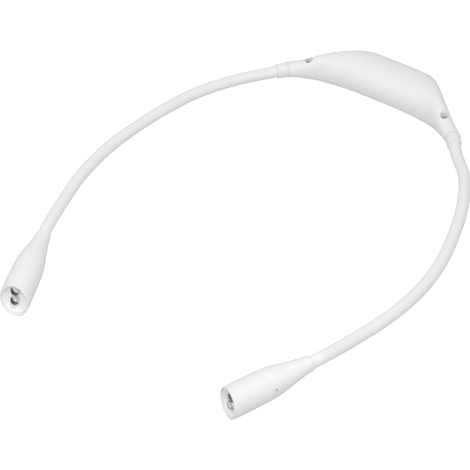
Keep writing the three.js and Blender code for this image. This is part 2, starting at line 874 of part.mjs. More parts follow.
// A ring of points round the arm's centre line; share may run past the line's ends
function armRing(curve, share, shift, radius, sides) {
  const inside = THREE.MathUtils.clamp(share, 0, 1);
  const along = curve.getTangentAt(inside);
  const centre = curve.getPointAt(inside);
  centre.addScaledVector(along, (share - inside) * curve.getLength() + shift);
  const across = new THREE.Vector3(0, 0, 1).cross(along).normalize();
  const over = along.clone().cross(across);
  const ring = [];
  for (let index = 0; index < sides; index++) {
    const angle = (index * round) / sides;
    const point = centre.clone().addScaledVector(across, radius * Math.cos(angle));
    ring.push(point.addScaledVector(over, radius * Math.sin(angle)).toArray());
  }
  return ring;
}

// A length of the arm between two shares, with a nose and a tail given as pairs of shift and radius
function armLength(curve, from, to, { radius, sides, steps }, nose, tail = []) {
  const rings = nose.map(([shift, size]) => armRing(curve, from, shift, size, sides));
  for (let step = 0; step <= steps; step++) {
    rings.push(armRing(curve, mix(from, to, step / steps), 0, radius, sides));
  }
  for (const [shift, size] of tail) rings.push(armRing(curve, to, shift, size, sides));
  return loft(rings);
}

function ballNose(radius, quarterSteps) {
  const nose = [];
  for (let step = 1; step < quarterSteps; step++) {
    const angle = ((step - 1 / 2) * round) / 4 / quarterSteps;
    nose.push([-radius * Math.cos(angle), radius * Math.sin(angle)]);
  }
  return nose;
}

// A ball round a joint, a little larger than the ball end that turns in it
function socketBall(curve, share) {
  const radius = tube.radius + tube.bendGap;
  const nose = ballNose(radius, tube.noseSteps);
  const tail = nose.map(([shift, size]) => [-shift, size]).reverse();
  const rings = [...nose, [0, radius], ...tail];
  return loft(rings.map(([shift, size]) => armRing(curve, share, shift, size, tube.sides)));
}

// An arm's segments turn on ball ends: each piece starts as a ball at its joint and ends in a
// socket round the next joint
function addArm(route, name) {
  const curve = armCurve(route);
  curve.arcLengthDivisions = 400;
  const whole = curve.getLength();
  const first = (collar.length + arm.rootLength) / whole;
  const last = 1 - arm.endLength / whole;
  const joints = [];
  for (let index = 0; index <= arm.segments; index++) {
    joints.push(mix(first, last, index / arm.segments));
  }
  const past = tube.radius * 2;
  const seat = clearance / whole;
  const sleeveNose = ballNose(tube.radius, tube.noseSteps);
  const coreNose = [
    [-tube.radius + clearance, tube.coreRadius / 2],
    [-tube.coreRadius, tube.coreRadius * tube.coreNoseShare],
  ];

  const addStretch = (label, from, to, steps, { ballEnd, socket, coreFrom = from, coreTo = to }) => {
    const wide = { radius: tube.radius, sides: tube.sides, steps };
    const thin = { radius: tube.coreRadius, sides: tube.coreSides, steps: steps + 2 };
    let outer = armLength(curve, from, to, wide, ballEnd ? sleeveNose : []);
    let core = armLength(curve, coreFrom, coreTo, thin, ballEnd ? coreNose : []);
    if (socket) {
      const room = socketBall(curve, to);
      outer = outer.subtract(room);
      core = core.subtract(room);
    }
    const bored = { ...thin, radius: tube.boreRadius };
    const bore = armLength(curve, from, to, bored, [[-past, bored.radius]], [[past, bored.radius]]);
    addPiece(light, `${name}_sleeve_${label}`, outer.subtract(bore), whiteSleeve);
    addPiece(light, `${name}_core_${label}`, core, springSteel);
  };

  const mouth = collar.length / whole + seat;
  const inHousing = arm.coreInset / whole;
  addStretch("root", mouth, joints[0], tube.steps - 1, { socket: true, coreFrom: -inHousing });
  for (let index = 0; index < arm.segments; index++) {
    const [from, to] = [joints[index], joints[index + 1]];
    addStretch(`${index + 1}`, from, to, tube.steps, { ballEnd: true, socket: true });
  }
  const inHead = (crimp.back + crimp.length) / whole;
  addStretch("end", last, 1 - seat, tube.steps, { ballEnd: true, coreTo: 1 + inHead });
}

function addHead(route, name) {
  const group = new THREE.Group();
  const neck = armCurve(route).getPoint(1);
  group.applyMatrix4(headTurn(route));
  group.position.copy(neck);
  light.add(group);
  addPiece(group, `${name}_head_shell`, shellSolid(route.side), whiteShell);
  addPiece(group, `${name}_lamp_cup`, cupSolid(route.side), whiteShell);
  addPiece(group, `${name}_led_upper`, ledSolid(route.side, 1), clearEpoxy);
  addPiece(group, `${name}_led_lower`, ledSolid(route.side, -1), clearEpoxy);
  addPiece(group, `${name}_head_board`, boardSolid(), greenBoard);
  addPiece(group, `${name}_push_switch`, switchSolid(), blackPlastic);
  addPiece(group, `${name}_button`, buttonSolid(), greyRubber);
  addPiece(group, `${name}_core_crimp`, crimpSolid(), zincSteel);
}

addHousingTop();
addHousingBottom();
addDoor();
for (const place of cellPlaces) addCell(place);
addContacts();
addDriverBoard();
addLeads();
addScrews();
for (const [route, name] of [[rightRoute, "right"], [leftRoute, "left"]]) {
  addCollar(route.side, name);
  addArm(route, name);
  addHead(route, name);
}

export default light;
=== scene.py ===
import math

import bmesh
import bpy
import numpy as np
from mathutils import Matrix


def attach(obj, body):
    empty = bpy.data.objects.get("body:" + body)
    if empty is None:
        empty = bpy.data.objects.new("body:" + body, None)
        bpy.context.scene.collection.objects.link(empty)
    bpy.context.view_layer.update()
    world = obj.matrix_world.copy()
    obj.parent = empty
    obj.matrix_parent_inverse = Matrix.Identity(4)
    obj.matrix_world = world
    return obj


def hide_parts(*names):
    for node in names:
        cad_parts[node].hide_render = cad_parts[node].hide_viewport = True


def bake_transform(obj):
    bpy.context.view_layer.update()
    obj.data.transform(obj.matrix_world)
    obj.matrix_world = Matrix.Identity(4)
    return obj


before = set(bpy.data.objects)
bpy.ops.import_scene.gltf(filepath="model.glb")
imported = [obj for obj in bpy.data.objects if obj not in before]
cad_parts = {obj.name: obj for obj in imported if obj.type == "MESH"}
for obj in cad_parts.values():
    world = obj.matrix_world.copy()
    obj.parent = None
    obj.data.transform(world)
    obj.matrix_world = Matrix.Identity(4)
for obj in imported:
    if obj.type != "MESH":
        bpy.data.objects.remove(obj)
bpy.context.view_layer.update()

# A neck reading light on a pale floor, seen from above. Lengths are in millimetres and angles
# in degrees; meshes are made in metres.
mm = 0.001
print("frame loaded")


# Meshes

def addObject(name, data):
    # Puts a mesh, a lamp or a lens into the scene
    thing = bpy.data.objects.new(name, data)
    bpy.context.scene.collection.objects.link(thing)
    return thing


def gridFaces(rows, columns, closedRows):
    # Four-sided faces between neighbouring rows; each row is a closed ring
    row, column = np.indices((rows if closedRows else rows - 1, columns))
    nextRow, nextColumn = (row + 1) % rows, (column + 1) % columns
    corners = ((row, column), (row, nextColumn), (nextRow, nextColumn), (nextRow, column))
    return np.stack([y * columns + x for y, x in corners], axis=-1).reshape(-1, 4).tolist()


def cleaned(mesh, joinWithin=2e-7):
    # Merges doubled points, drops faces without area and turns every face outwards
    work = bmesh.new()
    work.from_mesh(mesh)
    bmesh.ops.remove_doubles(work, verts=work.verts, dist=joinWithin)
    bmesh.ops.dissolve_degenerate(work, edges=work.edges, dist=joinWithin)
    bmesh.ops.recalc_face_normals(work, faces=work.faces)
    work.to_mesh(mesh)
    work.free()


def addGrid(name, rings, closedRows=False):
    # A closed skin through rings of points; open ends get a flat face
    rows, columns = rings.shape[:2]
    faces = gridFaces(rows, columns, closedRows)
    if not closedRows:
        faces.append(list(range(columns)))
        faces.append(list(range((rows - 1) * columns, rows * columns)))
    mesh = bpy.data.meshes.new(name)
    mesh.from_pydata((rings.reshape(-1, 3) * mm).tolist(), [], faces)
    cleaned(mesh)
    return addObject(name, mesh)


def applied(piece):
    # Makes the piece's modifiers part of its mesh
    bpy.context.view_layer.update()
    shown = piece.evaluated_get(bpy.context.evaluated_depsgraph_get())
    old = piece.data
    piece.data = bpy.data.meshes.new_from_object(shown)
    piece.modifiers.clear()
    bpy.data.meshes.remove(old)


def carve(piece, tool, how="DIFFERENCE"):
    # Cuts the tool out of the piece, or joins or keeps what they share, and drops the tool
    cut = piece.modifiers.new("cut", "BOOLEAN")
    cut.operation = how
    cut.solver = "MANIFOLD"
    cut.object = tool
    applied(piece)
    bpy.data.objects.remove(tool)
    return piece


def softened(piece, width, angle=35, segments=2):
    # Rounds the edges that are sharper than the angle
    bevel = piece.modifiers.new("edges", "BEVEL")
    bevel.width = width * mm
    bevel.segments = segments
    bevel.limit_method = "ANGLE"
    bevel.angle_limit = math.radians(angle)
    applied(piece)
    cleaned(piece.data)
    return piece


def joined(name, *parts):
    # One object from several closed meshes
    work = bmesh.new()
    for part in parts:
        work.from_mesh(part.data)
    mesh = bpy.data.meshes.new(name)
    work.to_mesh(mesh)
    work.free()
    for part in parts:
        bpy.data.objects.remove(part)
    return addObject(name, mesh)


# Shapes

def unit(vector):
    # Each vector divided by its length
    return vector / np.linalg.norm(vector, axis=-1, keepdims=True)


def rounded(corners, steps=6):
    # An outline whose corners, (x, y, radius), are arcs that touch both neighbouring sides
    path = []
    for index, (x, y, radius) in enumerate(corners):
        if radius == 0:
            path.append((x, y))
            continue
        here = np.array((x, y))
        before = unit(np.array(corners[index - 1][:2]) - here)
        after = unit(np.array(corners[(index + 1) % len(corners)][:2]) - here)
        half = math.acos(np.clip(before @ after, -1, 1)) / 2
        middle = here + unit(before + after) * radius / math.sin(half)
        first = here + before * radius / math.tan(half) - middle
        last = here + after * radius / math.tan(half) - middle
        sweep = math.pi - 2 * half
        share = np.linspace(0, 1, steps + 1)[:, None]
        arc = (first * np.sin((1 - share) * sweep) + last * np.sin(share * sweep)) / math.sin(sweep)
        path.extend((middle + arc).tolist())
    return np.array(path)


def turned(outline, sides):
    # Rings round the Y axis for an outline of (radius, place along Y)
    angle = np.linspace(0, 2 * math.pi, sides, endpoint=False)
    radius, along = outline[:, 0][:, None], outline[:, 1][:, None]
    return np.stack((radius * np.sin(angle), along + 0 * angle, radius * np.cos(angle)), axis=-1)


def placed(points, matrix):
    # Points turned and moved by a 4 by 4 matrix
    return points @ matrix[:3, :3].T + matrix[:3, 3]


def turnTo(direction, at):
    # The matrix that lays the Y axis along a direction, from a point
    forward = unit(np.array(direction, float))
    side = unit(np.cross(forward, (0, 0, 1) if abs(forward[2]) < 0.9 else (1, 0, 0)))
    matrix = np.eye(4)
    matrix[:3, :3] = np.stack((side, forward, np.cross(side, forward)), axis=1)
    matrix[:3, 3] = at
    return matrix


def boxPiece(name, low, high, edge=0):
    # A box between two opposite corners, with rounded edges
    x, y, z = np.sort(np.array([low, high], float), axis=0).T
    ring = [(x[0], y[0]), (x[1], y[0]), (x[1], y[1]), (x[0], y[1])]
    piece = addGrid(name, np.array([[(*corner, height) for corner in ring] for height in z]))
    return softened(piece, edge, segments=3) if edge else piece


def turnedPiece(name, outline, sides, direction, at, closedRows=False):
    # A piece turned round the line that leaves a point in a direction
    return addGrid(name, placed(turned(outline, sides), turnTo(direction, at)), closedRows)


def rod(start, end, radius, sides=48):
    # A plain round bar between two points, used to cut and to join
    start, end = np.array(start, float), np.array(end, float)
    outline = np.array([(radius, 0), (radius, np.linalg.norm(end - start))])
    return turnedPiece("rod", outline, sides, end - start, start)


def upright(x, y, low, high, radius):
    # A bar that stands upright between two heights
    return rod((x, y, low), (x, y, high), radius, 64)


def ringsRound(line, along, radius, sides, up):
    # A ring round each point of a line, square to its unit direction there, which is never up
    across = unit(np.cross(up, along))
    over = np.cross(along, across)
    angle = np.linspace(0, 2 * math.pi, sides, endpoint=False)[None, :, None]
    ring = across[:, None] * np.cos(angle) + over[:, None] * np.sin(angle)
    return line[:, None] + ring * np.asarray(radius)[..., None]


def smoothCurve(points, share):
    # A cubic through the points, free at its ends, whose slope and curvature run on at each point
    points = np.array(points, float)
    count = len(points)
    system = np.eye(count)
    for index in range(1, count - 1):
        system[index, index - 1:index + 2] = (1, 4, 1)
    bend = np.zeros_like(points)
    bend[1:-1] = 6 * (points[2:] - 2 * points[1:-1] + points[:-2])
    bend = np.linalg.solve(system, bend)
    place = np.clip(share, 0, 1) * (count - 1)
    low = np.minimum(place.astype(int), count - 2)
    after = (place - low)[..., None]
    before = 1 - after
    return (points[low] * before + points[low + 1] * after
            + ((before ** 3 - before) * bend[low] + (after ** 3 - after) * bend[low + 1]) / 6)


def mix(start, end, share):
    # The value that stands at a share of the way from one to the other
    return start + (end - start) * share


def smootherStep(value):
    # From 0 to 1 by a curve that is level and straight at both ends
    value = np.clip(value, 0, 1)
    return value ** 3 * (value * (value * 6 - 15) + 10)


# Materials

def setInputs(node, values):
    for key, value in values.items():
        node.inputs[key].default_value = value


def addNode(tree, kind, values=None, **settings):
    # A node with its settings made, then its inputs
    node = tree.nodes.new(kind)
    for key, value in settings.items():
        setattr(node, key, value)
    setInputs(node, values or {})
    return node


def newMaterial(name):
    # The material, its tree, the call that links sockets and the shader
    material = bpy.data.materials.new(name)
    material.use_nodes = True
    tree = material.node_tree
    return material, tree, tree.links.new, tree.nodes["Principled BSDF"]


def surface(name, look):
    # A finish from two noises: a fine one for the grain, a broad one for the tone and the gloss
    material, tree, link, shader = newMaterial(name)
    setInputs(shader, {"Metallic": look.get("metallic", 0), "IOR": look.get("ior", 1.47),
                       "Transmission Weight": look.get("clear", 0), "Coat Weight": look.get("coat", 0),
                       "Coat Roughness": look.get("coatRoughness", 0.1)})

    place = addNode(tree, "ShaderNodeTexCoord").outputs["Object"]
    broad = addNode(tree, "ShaderNodeTexNoise", {"Scale": 1 / (look["patch"] * mm), "Detail": 2.0})
    grain = addNode(tree, "ShaderNodeTexNoise", {"Scale": 1 / (look["grain"] * mm), "Detail": 3.0})
    link(place, broad.inputs["Vector"])
    link(place, grain.inputs["Vector"])

    first, second = look["colours"]
    tone = addNode(tree, "ShaderNodeMix", {"A": (*first, 1), "B": (*second, 1)}, data_type="RGBA")
    link(broad.outputs["Fac"], tone.inputs["Factor"])
    link(tone.outputs["Result"], shader.inputs["Base Color"])

    low, high = look["roughness"]
    gloss = addNode(tree, "ShaderNodeMapRange",
                    {"From Min": 0.3, "From Max": 0.7, "To Min": low, "To Max": high})
    link(broad.outputs["Fac"], gloss.inputs["Value"])
    link(gloss.outputs["Result"], shader.inputs["Roughness"])

    bump = addNode(tree, "ShaderNodeBump", {"Strength": 1.0, "Distance": look["depth"] * mm})
    link(grain.outputs["Fac"], bump.inputs["Height"])
    link(bump.outputs["Normal"], shader.inputs["Normal"])
    return material


# The tone and the roughness each run between two values; patch, grain and depth are the sizes
# of the tone's patches, of the grain and of its relief
looks = {
    "mouldedShell": dict(colours=((0.815, 0.815, 0.812), (0.8, 0.8, 0.797)), roughness=(0.5, 0.58),
        patch=14, grain=0.35, depth=0.003),
    "softSleeve": dict(colours=((0.83, 0.83, 0.828), (0.81, 0.81, 0.808)), roughness=(0.46, 0.58),
        patch=9, grain=0.5, depth=0.012),
    "lampCup": dict(colours=((0.96, 0.96, 0.955), (0.95, 0.95, 0.945)), roughness=(0.28, 0.36),
        patch=6, grain=0.4, depth=0.004, coat=0.2, coatRoughness=0.15),
    "buttonRubber": dict(colours=((0.7, 0.7, 0.695), (0.66, 0.66, 0.655)), roughness=(0.62, 0.74),
        patch=3, grain=0.2, depth=0.02),
    "clearEpoxy": dict(colours=((1, 1, 1), (0.98, 0.985, 0.99)), roughness=(0.02, 0.05), clear=1,
        ior=1.53, patch=2, grain=0.8, depth=0.002),
    "phosphor": dict(colours=((0.8, 0.71, 0.56), (0.85, 0.77, 0.62)), roughness=(0.5, 0.6),
        patch=0.6, grain=0.1, depth=0.01),
    # The anvil is a real part of a lamp; its near-black colour is painted shade for the dark edge seen
    # through each clear lamp
    "anvilPaintedShade": dict(colours=((0.03, 0.03, 0.031), (0.05, 0.05, 0.052)), roughness=(0.3, 0.45),
        patch=0.8, grain=0.15, depth=0.004),
    "leadFrame": dict(colours=((0.8, 0.79, 0.78), (0.7, 0.69, 0.68)), roughness=(0.22, 0.34),
        metallic=1, patch=0.8, grain=0.15, depth=0.004),
    "springSteel": dict(colours=((0.42, 0.43, 0.44), (0.34, 0.35, 0.36)), roughness=(0.28, 0.4),
        metallic=1, patch=3, grain=0.2, depth=0.004),
    "zincPlate": dict(colours=((0.55, 0.56, 0.57), (0.45, 0.46, 0.48)), roughness=(0.25, 0.4),
        metallic=1, patch=1.5, grain=0.15, depth=0.004),
    # The screws' grey is painted shade: it darkens the floor of each screw's well, where shade falls
    "screwGreyPaintedShade": dict(colours=((0.26, 0.26, 0.262), (0.31, 0.31, 0.312)), roughness=(0.45, 0.6),
        patch=1.5, grain=0.15, depth=0.004),
    "nickelPlate": dict(colours=((0.62, 0.6, 0.56), (0.54, 0.52, 0.49)), roughness=(0.14, 0.26),
        metallic=1, patch=2, grain=0.3, depth=0.003),
    "cellFilm": dict(colours=((0.09, 0.12, 0.15), (0.075, 0.1, 0.13)), roughness=(0.25, 0.32),
        patch=8, grain=1.2, depth=0.006, coat=0.5, coatRoughness=0.08),
    "cellBand": dict(colours=((0.6, 0.33, 0.13), (0.52, 0.28, 0.1)), roughness=(0.24, 0.34),
        metallic=0.7, patch=8, grain=1.2, depth=0.006),
    "solderMask": dict(colours=((0.02, 0.13, 0.05), (0.03, 0.17, 0.07)), roughness=(0.28, 0.4),
        patch=1.2, grain=0.4, depth=0.01, coat=0.4),
    "blackPlastic": dict(colours=((0.018, 0.018, 0.019), (0.026, 0.026, 0.027)), roughness=(0.4, 0.5),
        patch=2, grain=0.2, depth=0.006),
    "redWire": dict(colours=((0.45, 0.03, 0.025), (0.38, 0.025, 0.02)), roughness=(0.35, 0.45),
        patch=3, grain=0.5, depth=0.006),
}
finish = {name: surface(name, look) for name, look in looks.items()}
print("materials made")


def dress(piece, material, nodes=(), body=None, crease=32):
    # Gives a finished piece its shading, material, slot, solids to stand for and body; the empty
    # place that a cut leaves among the materials goes first
    piece.data.shade_smooth()
    piece.data.set_sharp_from_angle(angle=math.radians(crease))
    if not any(piece.data.materials):
        piece.data.materials.clear()
        piece.data.materials.append(finish[material])
    if nodes:
        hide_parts(*nodes)
    if body:
        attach(piece, body)


# Housing: a crescent whose sections lie across it, squarer in its middle and round at its ends
housing = {
    "halfLength": 53, "endDrop": 18.8, "backDepth": 18.8, "frontDepth": 8.2, "height": 17.5,
    "wall": 1.4, "splitHeight": 5, "widestHeight": 6.8, "axisHeight": 8.4, "endRadius": 4.5,
    "endAngle": 52, "flatCut": 1.2, "tailLength": 8, "bayBackShare": 0.875, "taperShare": 0.64,
    "riseShare": 0.45, "cavityShare": 0.88, "topPower": 0.92, "bottomPower": 0.62, "gap": 0.3,
    "seam": 0.07, "boreBeyond": 7, "openingTop": 4, "ribThickness": 1.2, "ribHeight": 11,
    "backShares": ((0, 1), (0.246, 0.995), (0.37, 0.948), (0.46, 0.797), (0.596, 0.4), (0.842, -0.3)),
    "frontShares": ((0, -1), (0.15, -1.01), (0.3, -1.03), (0.46, -1.1), (0.65, -1.47), (0.82, -2.15)),
    "stations": 201, "corners": 128, "innerStations": 121, "innerCorners": 96,
}
gap, seam, shellWall = housing["gap"], housing["seam"], housing["wall"]
farOut = housing["halfLength"] * 2
overrun = 2  # how far a cut runs past what it cuts
sideOf = {"right": 1, "left": -1}
tube = {"radius": 3.3, "boreRadius": 2.4, "coreRadius": 2.0}  # the arms' sleeve and core
coreBore = tube["coreRadius"] + gap


def endCentre(side):
    # The middle of the housing's end, where the arm goes in
    return np.array((side * housing["halfLength"], -housing["endDrop"], housing["axisHeight"]))


def endDirection(side):
    # The level way out of that end, turned forward by the end angle
    turn = math.radians(housing["endAngle"])
    return np.array((side * math.cos(turn), -math.sin(turn), 0))


def housingEdge(shares, depth, endSign):
    # The plan's edge: shares of the half length and the depth, then the corner of the round end
    end, along, out = endCentre(1), endDirection(1), endSign * housing["endRadius"]
    corner = (end[0] - along[1] * out, end[1] + along[0] * out)
    return [(x * housing["halfLength"], y * depth) for x, y in shares] + [corner]


def housingRings(inset, endShare, stations, corners):
    # Each section is a superellipse across the plan's two edges: its upper half rises from the
    # widest height to the top, its lower half falls to the bottom, and both turn round at the ends
    share = np.linspace(-endShare, endShare, stations)
    reach = np.abs(share)
    back = smoothCurve(housingEdge(housing["backShares"], housing["backDepth"], 1), reach)
    front = smoothCurve(housingEdge(housing["frontShares"], housing["frontDepth"], -1), reach)
    across = back - front
    width = np.linalg.norm(across, axis=1, keepdims=True)
    across = across / width
    centre = (back + front) / 2
    half = width / 2 - inset
    taper, rise = (smootherStep((reach - start) / (1 - start))[:, None]
                   for start in (housing["taperShare"], housing["riseShare"]))
    axis, endRadius = housing["axisHeight"], housing["endRadius"]
    top = mix(housing["height"], axis + endRadius, taper) - inset
    bottom = mix(-housing["flatCut"], axis - endRadius, rise) + inset
    widest = mix(housing["widestHeight"], axis, rise)
    angle = np.linspace(0, 2 * math.pi, corners, endpoint=False)
    upper = np.sin(angle) >= 0
    power = 2 / np.where(upper, mix(housing["topPower"], 1, taper), mix(housing["bottomPower"], 1, rise))
    cosine, sine = np.abs(np.cos(angle)), np.abs(np.sin(angle))
    radius = (cosine ** power + sine ** power) ** (-1 / power)
    sideways = radius * np.cos(angle) * half
    height = widest + radius * sine * np.where(upper, top - widest, bottom - widest)
    x = (centre[:, :1] + across[:, :1] * sideways) * np.where(share < 0, -1, 1)[:, None]
    y = centre[:, 1:] + across[:, 1:] * sideways
    return np.stack((x, y, height), axis=-1)


def housingInside(inset):
    # The same form drawn in by the inset, which stops short of the round ends
    return housingRings(inset, housing["cavityShare"], housing["innerStations"], housing["innerCorners"])


def housingBody(name, rings, floorHeight):
    # The whole body, cut flat underneath
    return carve(addGrid(name, rings), boxPiece("cut", [-farOut] * 3, (farOut, farOut, floorHeight)))


def housingShell(name, cavity):
    # The outer body less the cavity
    return carve(housingBody(name, housingRings(0, 1, housing["stations"], housing["corners"]), 0), cavity)


def housingCavity():
    # The room inside the wall, less the stems round the screws' shanks
    cavity = housingBody("cavity", housingInside(shellWall), shellWall)
    for side in sideOf.values():
        carve(cavity, upright(*screwPlace(side), -farOut, farOut, screwBore + screw["boss"]))
    return cavity


def boreEnds(piece):
    # The arm's core and the collar's spigot go into each end
    for side in sideOf.values():
        end, along = endCentre(side), endDirection(side)
        deep = end - along * (collar["spigotLength"] + housing["boreBeyond"])
        seat = end - along * (collar["spigotLength"] + gap)
        carve(piece, rod(deep, end + along * overrun, coreBore))
        carve(piece, rod(seat, end + along * overrun, collar["spigotRadius"] + gap))


def makeHousingTop():
    # The upper half with both tails and a well for each screw
    cavity = housingCavity()
    boss, well, seat, rise = screw["boss"], screw["wellRadius"], screw["seatHeight"], screw["flareHeight"]
    for side in sideOf.values():
        carve(cavity, upright(*screwPlace(side), seat - boss, farOut, well + boss))
    shell = housingShell("housing_top_shell", cavity)
    low = (-tailPlane - seam / 2, -farOut, -farOut)
    high = (tailPlane + seam / 2, farOut, housing["splitHeight"] + seam / 2)
    carve(shell, boxPiece("below", low, high))
    boreEnds(shell)
    for side in sideOf.values():
        x, y = screwPlace(side)
        carve(shell, upright(x, y, seat, farOut, well))
        # The well widens a little toward its mouth
        flare = np.array([(well, 0), (well + rise * screw["flareSlope"], rise)])
        carve(shell, turnedPiece("flare", flare, 64, (0, 0, 1), (x, y, screw["flareStart"])))
        carve(shell, upright(x, y, -farOut, farOut, screwBore))
    dress(shell, "mouldedShell", ["housing_top"], "housing")


def makeHousingBottom():
    # The lower half between the tails, with a rib at each end of the bay and the door's opening
    shell = housingShell("housing_bottom_shell", housingCavity())
    low = (-tailPlane + seam / 2, -farOut, -farOut)
    high = (tailPlane - seam / 2, farOut, housing["splitHeight"] - seam / 2)
    carve(shell, boxPiece("keep", low, high), "INTERSECT")
    for side in sideOf.values():
        carve(shell, upright(*screwPlace(side), screw["floorHeight"], farOut, screwBore))
        near, far = side * bayHalfLength, side * (bayHalfLength + housing["ribThickness"])
        rib = boxPiece("rib", (near, bayMiddle - bayHalfWidth, shellWall / 2),
                       (far, bayMiddle + bayHalfWidth, housing["ribHeight"]))
        room = addGrid("room", housingInside(shellWall + gap))
        carve(shell, carve(rib, room, "INTERSECT"), "UNION")
    length, width = doorHalfLength + gap, doorHalfWidth + gap
    carve(shell, boxPiece("opening", (-length, bayMiddle - width, -overrun),
                          (length, bayMiddle + width, housing["openingTop"])))
    pin = doorHalfLength + door["pinLength"] + gap
    carve(shell, rod((-pin, *doorHinge), (pin, *doorHinge), door["pinRadius"] + gap))
    dress(shell, "mouldedShell", ["housing_bottom"], "housing")


door = {"thickness": 1.5, "margin": 1.7, "edge": 0.2, "pinRadius": 0.6, "pinLength": 1.6, "notchEdge": 0.3,
        "gripCount": 4, "gripStart": 3.6, "gripPitch": 1.3, "gripDepth": 0.35, "gripSink": 0.1,
        "gripLength": 9}


def makeDoor():
    # A plate with a rolled front edge on two pins, a nail notch and grip grooves at the back
    back, thick = bayMiddle + doorHalfWidth, door["thickness"]
    plate = boxPiece("battery_door_plate", (-doorHalfLength, doorHinge[0], 0), (doorHalfLength, back, thick))
    bars = ((doorHalfLength, thick / 2), (doorHalfLength + door["pinLength"], door["pinRadius"]))
    for reach, radius in bars:
        carve(plate, rod((-reach, *doorHinge), (reach, *doorHinge), radius), "UNION")
    carve(plate, boxPiece("notch", (-cell["radius"], back - thick, -overrun),
                          (cell["radius"], back + overrun, thick / 2), door["notchEdge"]))
    softened(plate, door["edge"], angle=50)
    for index in range(door["gripCount"]):
        y, z = back - door["gripStart"] - index * door["gripPitch"], -door["gripSink"]
        half = (door["gripLength"] - index * door["gripPitch"]) / 2
        carve(plate, rod((-half, y, z), (half, y, z), door["gripDepth"], 24))
    dress(plate, "mouldedShell", ["battery_door"], "battery_door")


screw = {"headRadius": 1.7, "headHeight": 1.7, "headEdge": 0.6, "shankRadius": 1, "tipEdge": 0.2,
         "seatHeight": 10.8, "floorHeight": 2.8, "alongShare": 0.819, "dropShare": 0.633, "boss": 1.1,
         "wellRadius": 1.76, "flareStart": 12.4, "flareHeight": 6, "flareSlope": 0.18,
         "crossWidth": 0.5, "crossDepth": 0.8, "crossShare": 0.62}


def screwPlace(side):
    # Shares of the half length and of the ends' drop
    return side * housing["halfLength"] * screw["alongShare"], -housing["endDrop"] * screw["dropShare"]


def makeScrews():
    # A pan head with a cross recess on a plain shank; its grey colour is painted shade for the floor of its
    # well
    radius, shank = screw["headRadius"], screw["shankRadius"]
    tip, seat = screw["floorHeight"] + gap, screw["seatHeight"] + gap
    top = seat + screw["headHeight"]
    outline = rounded([(0, tip, 0), (shank, tip, screw["tipEdge"]), (shank, seat, 0), (radius, seat, 0.1),
                       (radius, top, screw["headEdge"]), (0, top, 0)])
    for name, side in sideOf.items():
        x, y = screwPlace(side)
        piece = turnedPiece(f"{name}_screw", outline, 48, (0, 0, 1), (x, y, 0))
        long, half, floor = radius * screw["crossShare"], screw["crossWidth"] / 2, top - screw["crossDepth"]
        for dx, dy in ((long, half), (half, long)):
            carve(piece, boxPiece("recess", (x - dx, y - dy, floor), (x + dx, y + dy, top + overrun)))
        # The screw's grey material is painted shade for the floor of its well
        dress(piece, "screwGreyPaintedShade", [f"{name}_case_screw"], "housing")


collar = {"radius": 4.3, "mouthRadius": 4.05, "length": 6.3, "spigotRadius": 3, "spigotLength": 4,
          "edge": 0.45}


def makeCollars():
    # A turned ring with a rounded mouth, and a spigot that goes into the housing's end
    spigot, start, length = collar["spigotRadius"], -collar["spigotLength"], collar["length"]
    outline = rounded([
        (coreBore, start, 0), (spigot, start, 0.2), (spigot, seam, 0), (collar["radius"], seam, 0.12),
        (collar["mouthRadius"], length, collar["edge"]), (coreBore, length, 0.1)])
    for name, side in sideOf.items():
        along, end = endDirection(side), endCentre(side)
        piece = turnedPiece(f"{name}_collar_ring", outline, 96, along, end, closedRows=True)
        dress(piece, "mouldedShell", [f"{name}_collar"], "housing")


# Battery bay
cell = {"radius": 5.25, "length": 44.5, "pitch": 10.8, "nubRadius": 1.9, "nubLength": 1.2, "nubEdge": 0.35,
        "dish": 0.15, "dishShares": (0.62, 0.68), "rimInset": 0.35, "neckInset": 0.3, "neck": (0.55, 0.75),
        "groove": 0.35, "grooveReach": (0.5, 0.9), "bareEnd": 0.6, "bandShare": 0.72}


def makeCells():
    # A turned can with a crimped edge at each end, and a nub in a groove at one of them
    radius, nub, length, dish = cell["radius"], cell["nubRadius"], cell["length"], cell["dish"]
    rim, neck, body = radius - cell["rimInset"], radius - cell["neckInset"], length - cell["nubLength"]
    (dishIn, dishOut), (neckLow, neckHigh) = cell["dishShares"], cell["neck"]
    groove, (grooveIn, grooveOut) = body - cell["groove"], cell["grooveReach"]
    outline = rounded([
        (0, dish, 0), (radius * dishIn, dish, 0.1), (radius * dishOut, 0, 0.2), (rim, 0, 0.25),
        (neck, neckLow, 0), (radius, neckHigh, 0.15), (radius, body - neckHigh, 0.15),
        (neck, body - neckLow, 0), (rim, body, 0.2), (nub + grooveOut, body, 0.2),
        (nub + grooveIn, groove, 0.15), (nub, groove, 0.1), (nub, length, cell["nubEdge"]), (0, length, 0)])
    for side, name in ((1, "front"), (-1, "rear")):
        tip = bayHalfLength - contact["thickness"] - gap * 2
        start = (side * (tip - length), bayMiddle - side * cell["pitch"] / 2, cellHeight)
        piece = turnedPiece(f"cell_{name}", outline, 64, (side, 0, 0), start)
        for material in ("cellFilm", "cellBand", "nickelPlate"):
            piece.data.materials.append(finish[material])
        along = np.array([face.center[0] for face in piece.data.polygons]) / mm * side - side * start[0]
        bare = (along < cell["bareEnd"]) | (along > body - cell["bareEnd"])
        kind = np.where(bare, 2, np.where(along > body * cell["bandShare"], 1, 0))
        piece.data.polygons.foreach_set("material_index", kind.astype(np.int32))
        dress(piece, "cellFilm", [f"battery_cell_{name}"], "housing")


contact = {"thickness": 0.5, "size": 6.8, "edge": 0.15, "springLength": 2.7, "wireRadius": 0.3, "turns": 2.5,
           "springPoints": 73, "wireSides": 12}


